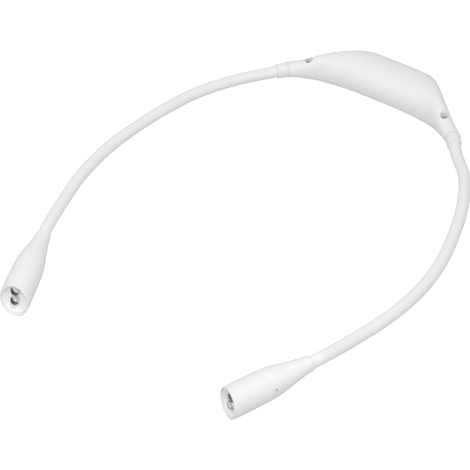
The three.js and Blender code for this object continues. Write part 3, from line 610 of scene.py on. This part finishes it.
def springWire(name, side, y):
    # Round wire along a spiral that narrows from the plate to the cell
    wire = contact["wireRadius"]
    share = np.linspace(0, 1, contact["springPoints"])
    angle = share * contact["turns"] * 2 * math.pi
    radius = mix(contact["size"] / 2 - wire * 3, cell["nubRadius"], share)
    start = bayHalfLength - gap - contact["thickness"]
    x = side * (start - share * (contact["springLength"] - gap - wire))
    line = np.stack((x, y + radius * np.cos(angle), cellHeight + radius * np.sin(angle)), axis=-1)
    along = unit(np.gradient(line, axis=0))
    return addGrid(name, ringsRound(line, along, wire, contact["wireSides"], (1, 0, 0)))


def makeContacts():
    # Three plates at the ends of the bay; a spring stands on two of them
    half, thick = contact["size"] / 2, contact["thickness"]
    frontY, rearY = bayMiddle - cell["pitch"] / 2, bayMiddle + cell["pitch"] / 2
    plans = (("positive", 1, frontY - half, frontY + half, None),
             ("negative", 1, rearY - half, rearY + half, rearY),
             ("bridge", -1, frontY - half, rearY + half, frontY))
    for name, side, low, high, springY in plans:
        outer = side * (bayHalfLength - gap)
        plate = boxPiece(f"contact_{name}_plate", (outer, low, cellHeight - half),
                         (outer - side * thick, high, cellHeight + half), contact["edge"])
        if springY is not None:
            plate = joined(f"contact_{name}_plate", plate, springWire("spring", side, springY))
        dress(plate, "nickelPlate", [f"contact_{name}"], "housing")


bayMiddle = (housing["backDepth"] * housing["bayBackShare"] - housing["frontDepth"]) / 2
bayHalfLength = (cell["length"] + contact["springLength"] + contact["thickness"] * 2 + gap * 4) / 2
bayHalfWidth = cell["pitch"] / 2 + cell["radius"] + gap
cellHeight = door["thickness"] + gap + cell["radius"]
doorHalfLength, doorHalfWidth = bayHalfLength - gap, bayHalfWidth - door["margin"]
doorHinge = (bayMiddle - doorHalfWidth + door["thickness"] / 2, door["thickness"] / 2)
tailPlane = housing["halfLength"] - housing["tailLength"]
screwBore = screw["shankRadius"] + gap

makeHousingTop()
makeHousingBottom()
makeDoor()
makeScrews()
makeCollars()
print("housing made")
makeCells()
makeContacts()
print("battery bay made")


# Heads, each in its own axes: the neck at the origin, forward along -Y, up along +Z and
# outwards along +X on the wearer's right
head = {
    "length": 43.4, "radius": 8.05, "wall": 1.1, "lean": 3.46, "roll": 18.4, "neckEdge": 0.5,
    "neckFlare": 0.1, "neckRun": 3, "neckClear": 0.7, "floorClear": 0.6, "mouthShare": 0.955,
    "rimEdge": 0.32, "rimClear": 0.512,
    "outlineShares": ((0, 0.484), (0.06, 0.51), (0.12, 0.563), (0.25, 0.7), (0.38, 0.857), (0.52, 0.958),
                      (0.7, 0.99), (0.85, 1), (0.965, 0.995), (1, 0.972)),
    "sides": 128,
}
cup = {"wall": 0.7, "taper": 0.3, "floor": 1.2, "depth": 2.2, "setback": 0.9, "legThickness": 0.8,
       "legWidth": 3, "legEdge": 0.15, "stepCount": 3, "stepHeight": 0.14, "stepSlope": 0.02, "snug": 0.06}
# The lamp's inner profiles are radius, height above the seat and rounding of each corner
led = {"radius": 2.4, "flangeRadius": 2.55, "flangeLength": 1, "domeLength": 3.2, "pitch": 5.4, "seat": 1.3,
       "base": ((0, 0, 0), (2.1, 0, 0.15), (2.1, -1, 0.1), (0, -1, 0)),
       "reflector": ((0, 0.05, 0), (0.75, 0.05, 0.1), (0.95, 0.5, 0.05), (0.75, 0.5, 0.05),
                     (0.45, 0.25, 0.05), (0, 0.25, 0)),
       "bead": ((0, 0.3, 0), (0.42, 0.3, 0.03), (0.6, 0.46, 0.05), (0, 0.52, 0)), "offset": 0.35,
       "anvilRadius": 1.5, "anvilThick": 0.42, "anvilFoot": 0.05, "anvilHeight": 0.95, "anvilFall": 0.9,
       "anvilHalf": 54,
       # Each lamp's anvil is turned so that its painted shade falls where that lamp shows dark
       "anvilTurn": {"right_upper": 252, "right_lower": 140, "left_upper": 218, "left_lower": 218}}
snap = {"pegRadius": 0.45, "holeRadius": 0.75, "alongShare": 0.47, "angle": 57}
pushSwitch = {"height": 2.6, "along": 20}
board = {"thickness": 1, "rise": 1}
button = {"radius": 2.4, "stemRadius": 1.5, "flangeRadius": 3.1, "flangeThickness": 0.8, "proud": 0.9,
          "travel": 0.5, "dish": (0.35, 0.32), "dishShares": (0.45, 0.72)}
crimp = {"back": 6, "coreBeyond": 3}
cupFront = head["length"] - cup["setback"]
cupFloor = cupFront - cup["depth"]
cupBack = cupFloor - cup["floor"]
snapPlace = -snap["alongShare"] * head["length"]

# How each head is turned, and where each arm runs: shares of the loop's half width, of the reach
# and of the neck's rise
routes = {
    "right": {"yaw": 36.8, "pitch": -18,
              "places": ((0.739, 0.137, 0.14), (0.853, 0.254, 0.31), (0.933, 0.379, 0.44),
                         (0.99, 0.508, 0.54), (1.009, 0.641, 0.65), (0.986, 0.773, 0.77),
                         (0.931, 0.903, 0.89))},
    "left": {"yaw": 18.7, "pitch": -6.9,
             "places": ((0.702, 0.128, 0.12), (0.81, 0.244, 0.28), (0.871, 0.369, 0.44), (0.909, 0.497, 0.54),
                        (0.922, 0.627, 0.66), (0.897, 0.756, 0.8), (0.84, 0.882, 0.94))},
}


def headMatrix(name):
    # The head's turn from its angles, and its neck from where the frame holds the core's crimp
    side, route = sideOf[name], routes[name]
    turns = ((-side * route["yaw"], "Z"), (-route["pitch"], "X"), (side * head["roll"], "Y"))
    yaw, pitch, roll = (Matrix.Rotation(math.radians(angle), 3, axis) for angle, axis in turns)
    turn = np.array(yaw @ pitch @ roll)
    points = np.array([vertex.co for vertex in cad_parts[f"{name}_core_crimp"].data.vertices]) / mm
    local = points @ turn
    middle = (local.min(axis=0) + local.max(axis=0)) / 2
    matrix = np.eye(4)
    matrix[:3, :3] = turn
    matrix[:3, 3] = turn @ (middle[0], local[:, 1].max() + crimp["back"], middle[2])
    return matrix


def headOutline(count):
    # Places along the head and its radii there, a cubic through the shares
    points = [(x * head["length"], y * head["radius"]) for x, y in head["outlineShares"]]
    return smoothCurve(points, np.linspace(0, 1, count))


def headRadius(along):
    # The outside's radius at a distance from the neck
    outline = headOutline(400)
    return np.interp(along, outline[:, 0], outline[:, 1])


def leaned(rings):
    # Sets each point back by its height, more and more from the neck to the rim
    grown = -rings[..., 1] / head["length"]
    rings[..., 1] += head["lean"] * grown * rings[..., 2] / head["radius"]
    return rings


def snapRod(side, start, end, radius):
    # A bar on the line of the head's two snap holes, between two distances from its axis
    turn = math.radians(snap["angle"])
    ends = [(side * out * math.sin(turn), snapPlace, out * math.cos(turn)) for out in (start, end)]
    return rod(*ends, radius)


def makeHeadShell(name, matrix):
    # A turned wall from the neck to the rim, with the front leaned back; the outermost corners of
    # neck, rim and floor only give the way that their sides go
    edge, wall, length = head["rimEdge"], head["wall"], head["length"]
    mouth, start, outer = head["radius"] - wall, crimp["back"] - gap, headOutline(90)
    neck = rounded([(coreBore, 0, 0.2), (outer[0, 1], 0, head["neckEdge"]),
                    (outer[0, 1] + head["neckFlare"], head["neckRun"], 0)])
    skin = outer[(outer[:, 0] > head["neckClear"]) & (outer[:, 0] < length - head["rimClear"])]
    kept = (skin[:, 0] > start + head["floorClear"]) & (skin[:, 0] < length * head["mouthShare"])
    inner = skin[kept][::-1] - (0, wall)
    rim = rounded([(outer[-6, 1], outer[-6, 0], 0), (outer[-1, 1], length, edge), (mouth, length, edge),
                   (mouth, 0, 0)])[1:-1]
    floor = rounded([(inner[-1, 1], inner[-1, 0], 0), (headRadius(start) - wall, start, 0.3),
                     (coreBore, start, 0.1), (coreBore, 0, 0)])[1:-1]
    outline = np.vstack((neck[:-1], skin[:, ::-1], rim, inner[:, ::-1], floor))
    outline[:, 1] *= -1
    shell = addGrid(f"{name}_head_casing", leaned(turned(outline, head["sides"])), closedRows=True)
    far = head["radius"] * 2
    carve(shell, snapRod(sideOf[name], -far, far, snap["holeRadius"]))
    carve(shell, upright(0, -pushSwitch["along"], 0, -far, button["radius"] + gap))
    finishHeadPiece(shell, matrix, "mouldedShell", [f"{name}_head_shell"], f"{name}_head")


def finishHeadPiece(piece, matrix, material, nodes, body):
    # Moves a piece from the head's or the lamp's axes to its place, in metres, and dresses it
    inMetres = matrix.copy()
    inMetres[:3, 3] *= mm
    piece.data.transform(Matrix(inMetres.tolist()))
    dress(piece, material, nodes, body)


def ledMatrix(side, up):
    # A lamp stands square to the leaned floor, and the pair is upright whatever the head's roll
    half, roll = up * led["pitch"] / 2, math.radians(head["roll"])
    tilt = math.atan(head["lean"] * cupFloor / head["length"] / head["radius"])
    seat = Matrix.Translation((0, gap - cupBack, 0)) @ Matrix.Rotation(-tilt, 4, "X")
    return np.array(seat @ Matrix.Translation((-side * half * math.sin(roll), 0, half * math.cos(roll))))


def makeCup(name, matrix):
    # A low wall with a few fine steps, a floor with two holes and two legs with pegs
    outer = head["radius"] - head["wall"] - cup["snug"]
    inner = outer - cup["wall"]
    foot = inner - cup["taper"]
    rise, slope, steps = cup["stepHeight"] / 2, cup["stepSlope"], []
    for index in range(cup["stepCount"]):
        share = (index + 1) / (cup["stepCount"] + 1)
        radius, along = mix(inner, foot, share), mix(cupFront, cupFloor, share)
        steps += [(radius + rise, along + slope, 0), (radius - rise, along - slope, 0)]
    outline = rounded([
        (0, cupFloor, 0), (foot, cupFloor, 0.4), *reversed(steps), (inner, cupFront, 0.2),
        (outer, cupFront, 0.1), (outer, cupBack, 0.2), (0, cupBack, 0)])
    outline[:, 1] *= -1
    piece = addGrid(f"{name}_cup", leaned(turned(outline, 96)))

    # The legs run from the middle of the floor's thickness back past the snap holes
    floorMiddle = -(cupFloor + cupBack) / 2
    room = np.array([(0, floorMiddle), (outer, floorMiddle), (outer, 0), (0, 0)])
    legOuter = float(headRadius(-snapPlace)) - head["wall"] - gap * 2
    legInner = legOuter - cup["legThickness"]
    side, halfWidth = sideOf[name], cup["legWidth"] / 2
    turn = side * (math.radians(snap["angle"]) - math.pi / 2)
    for end in (1, -1):
        leg = boxPiece("leg", (end * legInner, -head["length"], -halfWidth),
                       (end * legOuter, snapPlace + halfWidth, halfWidth), cup["legEdge"])
        leg.data.transform(Matrix.Rotation(turn, 4, "Y"))
        carve(leg, addGrid("room", leaned(turned(room, 96))), "INTERSECT")
        carve(piece, leg, "UNION")
        peg = snapRod(side, end * legInner, end * (legOuter + head["wall"]), snap["pegRadius"])
        carve(piece, peg, "UNION")
    for up in (1, -1):
        ends = placed(np.array([(0, 0, 0), (0, -cup["floor"] - gap - overrun, 0)]), ledMatrix(side, up))
        carve(piece, rod(*ends, led["radius"] + cup["snug"], 64))
    finishHeadPiece(piece, matrix, "lampCup", [f"{name}_lamp_cup"], f"{name}_head")


def ledPart(key, sides=40):
    # An inner profile turned round the lamp's axis, above the seat
    outline = rounded([(radius, -led["seat"] - height, edge) for radius, height, edge in led[key]])
    return turned(outline, sides)


def makeLed(name, matrix, label, up):
    # A round-nosed clear lamp with a flange; in it stand a white base, a reflector cup with its
    # bead of phosphor, and the anvil, a plate bent round the lamp's axis with its corners rounded off, whose
    # near-black colour is painted shade for the dark edge that the clear lamp shows
    radius, flange, back = led["radius"], led["flangeRadius"], led["flangeLength"]
    straight = cup["floor"] + led["domeLength"] - radius
    turn = np.linspace(0, math.pi / 2, 20)
    dome = np.stack((radius * np.sin(turn), -straight - radius * np.cos(turn)), axis=-1)
    foot = rounded([(radius, 0, 0.1), (flange, 0, 0.12), (flange, back, 0.12), (0, back, 0)])

    middle = math.radians(led["anvilTurn"][f"{name}_{label}"])
    outer, inner = led["anvilRadius"], led["anvilRadius"] - led["anvilThick"]
    low, share = -led["seat"] - led["anvilFoot"], np.linspace(-1, 1, 49)
    angle = middle + share * math.radians(led["anvilHalf"])
    high = low - led["anvilHeight"] * np.sqrt(1 - led["anvilFall"] * share ** 4)
    anvil = np.stack([np.stack((out * np.cos(angle), level + 0 * angle, out * np.sin(angle)), axis=-1)
                      for out, level in ((outer, low), (outer, high), (inner, high), (inner, low))], axis=1)

    # The cup stands off the axis on the side away from the dark plate
    shift = -led["offset"] * np.array((math.cos(middle), 0, math.sin(middle)))
    matrix = matrix @ ledMatrix(sideOf[name], up)
    for part, material, nodes, rings in (
            ("body", "clearEpoxy", [f"{name}_led_{label}"], turned(np.vstack((dome, foot)), 64)),
            ("base", "lampCup", [], ledPart("base", 48)),
            ("frame", "leadFrame", [], ledPart("reflector") + shift),
            ("phosphor", "phosphor", [], ledPart("bead") + shift),
            ("anvil", "anvilPaintedShade", [], anvil)):
        piece = addGrid(f"{name}_led_{label}_{part}", rings)
        finishHeadPiece(piece, matrix, material, nodes, f"{name}_head")


def makeButton(name, matrix):
    # A turned cap with a shallow dish, a flange inside the shell and a stem up to the switch
    outside = float(headRadius(pushSwitch["along"]))
    inside = math.sqrt((outside - head["wall"]) ** 2 - button["flangeRadius"] ** 2) - gap * 2
    stemTop = board["rise"] - board["thickness"] / 2 - pushSwitch["height"] - gap * 2 - button["travel"]
    radius, flange, stem = button["radius"], button["flangeRadius"], button["stemRadius"]
    face, ledge = -outside - button["proud"], button["flangeThickness"] - inside
    (middle, rim), (shareIn, shareOut) = button["dish"], button["dishShares"]
    outline = rounded([
        (0, face + middle, 0), (radius * shareIn, face + rim, 0.3), (radius * shareOut, face, 0.4),
        (radius, face, 0.45), (radius, -inside, 0.05), (flange, -inside, 0.15), (flange, ledge, 0.15),
        (stem, ledge, 0.1), (stem, stemTop, 0.2), (0, stemTop, 0)])
    piece = turnedPiece(f"{name}_button_cap", outline, 64, (0, 0, 1), (0, -pushSwitch["along"], 0))
    finishHeadPiece(piece, matrix, "buttonRubber", [f"{name}_button"], f"{name}_button")


# Arms: a soft sleeve over a wound core, bent smoothly across each joint. Each wave of the
# sleeve's ripple is its length, its turns round the sleeve, its start and its weight.
arm = {"rootLength": 8, "endLength": 5, "endGap": 0.05, "segments": 5, "halfWidth": 100, "reach": 185,
       "bend": 8, "sides": 64, "step": 0.8, "ripple": 0.02,
       "waves": ((6.1, 1, 0, 1), (3.7, -2, 1.3, 0.5), (11.3, 0, 2, 1)),
       "coreInset": 7, "coreSides": 12, "coreStep": 0.32, "windPitch": 1.6, "windDepth": 0.1}


def centripetal(points, perStretch=60):
    # A cubic through the points whose knots lie apart by the square root of each chord
    points = np.array(points)
    padded = np.vstack((2 * points[0] - points[1], points, 2 * points[-1] - points[-2]))
    before, near, far, after = padded[:-3], padded[1:-2], padded[2:-1], padded[3:]
    knot = np.sqrt(np.linalg.norm(np.diff(padded, axis=0), axis=1, keepdims=True))
    knotIn, span, knotOut = knot[:-2], knot[1:-1], knot[2:]
    start = ((near - before) / knotIn - (far - before) / (knotIn + span) + (far - near) / span) * span
    end = ((far - near) / span - (after - near) / (span + knotOut) + (after - far) / knotOut) * span
    share = np.linspace(0, 1, perStretch, endpoint=False)[None, :, None]
    near, far, start, end = (value[:, None] for value in (near, far, start, end))
    square, cube = 3 * (far - near) - 2 * start - end, 2 * (near - far) + start + end
    curve = near + start * share + square * share ** 2 + cube * share ** 3
    return np.vstack((curve.reshape(-1, 3), points[-1]))


def armLine(name, matrix):
    # The middle line: straight out of the housing, through the places, straight into the neck
    side, neck, forward = sideOf[name], matrix[:3, 3], -matrix[:3, 1]
    start, along = endCentre(side), endDirection(side)
    out, ahead, rise = np.array(routes[name]["places"]).T
    places = np.stack((side * out * arm["halfWidth"], start[1] - ahead * arm["reach"],
                       mix(start[2], neck[2], rise)), axis=-1)
    points = [start, start + along * collar["length"], start + along * (collar["length"] + arm["rootLength"]),
              *places, neck - forward * arm["endLength"], neck]
    return centripetal(points)


def armRings(line, start, end, radius, sides, step):
    # Rings square to the line, from one length along it to another
    whole = np.concatenate(([0], np.cumsum(np.linalg.norm(np.diff(line, axis=0), axis=1))))
    length = np.linspace(start, end, max(3, int((end - start) / step) + 1))
    inside = np.clip(length, 0, whole[-1])
    centre = np.stack([np.interp(inside, whole, line[:, axis]) for axis in range(3)], axis=-1)
    slope = np.gradient(line, axis=0)
    along = unit(np.stack([np.interp(inside, whole, slope[:, axis]) for axis in range(3)], axis=-1))
    centre = centre + along * (length - inside)[:, None]
    if callable(radius):
        radius = radius(length[:, None], np.linspace(0, 2 * math.pi, sides, endpoint=False))
    return ringsRound(centre, along, radius, sides, (0, 0, 1))


def sleeveRadius(length, angle):
    # A touch of unevenness from being bent by hand
    wave = sum(weight * np.sin(length / pitch + turns * angle + start)
               for pitch, turns, start, weight in arm["waves"])
    return tube["radius"] + arm["ripple"] * wave


def coreRadius(length, angle):
    # Wire wound round the core: a shallow groove that climbs by the pitch each turn
    wind = 1 - np.cos(length / arm["windPitch"] * 2 * math.pi + angle)
    return tube["coreRadius"] - arm["windDepth"] * wind / 2


def makeArm(name, matrix):
    # A length of sleeve and of core for each joint, cut in the middle between two joints
    line, count, endGap = armLine(name, matrix), arm["segments"], arm["endGap"]
    whole = np.linalg.norm(np.diff(line, axis=0), axis=1).sum()
    joints = np.linspace(collar["length"] + arm["rootLength"], whole - arm["endLength"], count + 1)
    middles = (joints[1:] + joints[:-1]) / 2
    sleeveCuts = [collar["length"] + endGap, *middles, whole - endGap]
    coreCuts = [-arm["coreInset"], *middles, whole + crimp["back"] + crimp["coreBeyond"]]
    numbers = range(1, count + 1)
    labels = ["root", *map(str, numbers), "end"]
    for index, joint in enumerate(joints):
        stands = labels[index:index + 1] if index < count else labels[index:]
        outer, inner = (armRings(line, *sleeveCuts[index:index + 2], radius, arm["sides"], arm["step"])
                        for radius in (sleeveRadius, tube["boreRadius"]))
        skin = np.concatenate((outer, inner[::-1]))
        sleeve = addGrid(f"{name}_sleeve_skin_{index + 1}", skin, closedRows=True)
        rings = armRings(line, *coreCuts[index:index + 2], coreRadius, arm["coreSides"], arm["coreStep"])
        core = addGrid(f"{name}_wound_core_{index + 1}", rings)
        start, end = jointEnds(line, joint)
        for piece, material, slot, stem in ((sleeve, "softSleeve", "white_sleeve", "sleeve"),
                                            (core, "springSteel", "spring_steel", "core")):
            dress(piece, material, [f"{name}_{stem}_{label}" for label in stands], crease=40)
            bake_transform(piece)


def jointEnds(line, joint):
    # The points of the line where a bend starts and ends, in metres
    ends = armRings(line, joint - arm["bend"], joint + arm["bend"], 0, 3, arm["bend"]).mean(axis=1)
    return tuple(ends[0] * mm), tuple(ends[-1] * mm)


for name in routes:
    matrix = headMatrix(name)
    makeHeadShell(name, matrix)
    makeCup(name, matrix)
    makeLed(name, matrix, "upper", 1)
    makeLed(name, matrix, "lower", -1)
    makeButton(name, matrix)
    makeArm(name, matrix)
    print(name, "head and arm made")

# Sealed inner pieces keep the frame's solids
innerFinish = {"driver_board": "solderMask", "head_board": "solderMask", "push_switch": "blackPlastic",
               "core_crimp": "zincPlate", "lead": "redWire"}
for nodeName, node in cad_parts.items():
    for ending, material in innerFinish.items():
        if nodeName.endswith(ending):
            node.data.materials.clear()
            node.data.materials.append(finish[material])
print("inner pieces finished")


# Floor, light and camera
stage = {"floorHeight": 0, "floorHalf": 3000, "floorColour": 0.72, "floorGlow": 0.75, "worldStrength": 0.535,
         "key": {"energy": 7.0, "size": 900, "place": (250, -500, 995), "aim": (0, -110, 0)},
         "fill": {"energy": 0.84, "size": 900, "place": (-740, -625, 630), "aim": (0, -110, 0)}}


def makeFloor():
    # A wide square that also glows, to the camera and through the clear pieces only
    half, height = stage["floorHalf"] * mm, stage["floorHeight"] * mm
    mesh = bpy.data.meshes.new("floor")
    corners = [(x * half, y * half, height) for x, y in ((-1, -1), (1, -1), (1, 1), (-1, 1))]
    mesh.from_pydata(corners, [], [(0, 1, 2, 3)])
    floor = addObject("floor", mesh)
    material, tree, link, shader = newMaterial("paleFloor")
    setInputs(shader, {"Base Color": (*[stage["floorColour"]] * 3, 1), "Roughness": 0.9,
                       "Specular IOR Level": 0, "Emission Color": (1, 1, 1, 1)})
    rays = addNode(tree, "ShaderNodeLightPath")
    seen = addNode(tree, "ShaderNodeMath", operation="MAXIMUM")
    glow = addNode(tree, "ShaderNodeMath", {1: stage["floorGlow"]}, operation="MULTIPLY")
    link(rays.outputs["Is Camera Ray"], seen.inputs[0])
    link(rays.outputs["Is Transmission Ray"], seen.inputs[1])
    link(seen.outputs[0], glow.inputs[0])
    link(glow.outputs[0], shader.inputs["Emission Strength"])
    mesh.materials.append(material)


def makeLights():
    # Two round lamps above the object, and a world that shows white to the camera
    for name in ("key", "fill"):
        lamp = stage[name]
        light = bpy.data.lights.new(name, "AREA")
        light.energy, light.shape, light.size = lamp["energy"], "DISK", lamp["size"] * mm
        holder = addObject(name, light)
        place, aim = np.array(lamp["place"], float), np.array(lamp["aim"], float)
        holder.location = place * mm
        back = unit(place - aim)
        side = unit(np.cross((0, 1, 0.01), back))
        turn = Matrix(np.stack((side, np.cross(back, side), back), axis=1).tolist())
        holder.rotation_euler = turn.to_euler()
    world = bpy.data.worlds.new("studio")
    world.use_nodes = True
    tree = world.node_tree
    sky = tree.nodes["Background"]
    rays = addNode(tree, "ShaderNodeLightPath")
    strength = addNode(tree, "ShaderNodeMix", {"A": stage["worldStrength"], "B": 1}, data_type="FLOAT")
    tree.links.new(rays.outputs["Is Camera Ray"], strength.inputs["Factor"])
    tree.links.new(strength.outputs["Result"], sky.inputs["Strength"])
    setInputs(sky, {"Color": (1, 1, 1, 1)})
    bpy.context.scene.world = world


camera = {"azimuth": 34.82, "elevation": 43.1, "roll": -0.45, "distance": 927.75,
          "target": (-0.28, -146.8, 8.4), "focal": 140.695, "sensor": 36, "clip": (0.01, 20)}


def makeCamera():
    # Looks at the target from the azimuth and elevation, rolled a little
    turns = ((camera["azimuth"], "Z"), (90 - camera["elevation"], "X"), (camera["roll"], "Z"))
    turn, tilt, roll = (Matrix.Rotation(math.radians(angle), 4, axis) for angle, axis in turns)
    lens = bpy.data.cameras.new("camera")
    lens.sensor_width, lens.lens = camera["sensor"], camera["focal"]
    lens.clip_start, lens.clip_end = camera["clip"]
    eye = addObject("camera", lens)
    target = Matrix.Translation([place * mm for place in camera["target"]])
    eye.matrix_world = target @ turn @ tilt @ roll @ Matrix.Translation((0, 0, camera["distance"] * mm))
    bpy.context.scene.camera = eye


makeFloor()
makeLights()
makeCamera()
bpy.context.scene.view_settings.view_transform = "Standard"
print("floor, light and camera made")

bpy.context.view_layer.update()
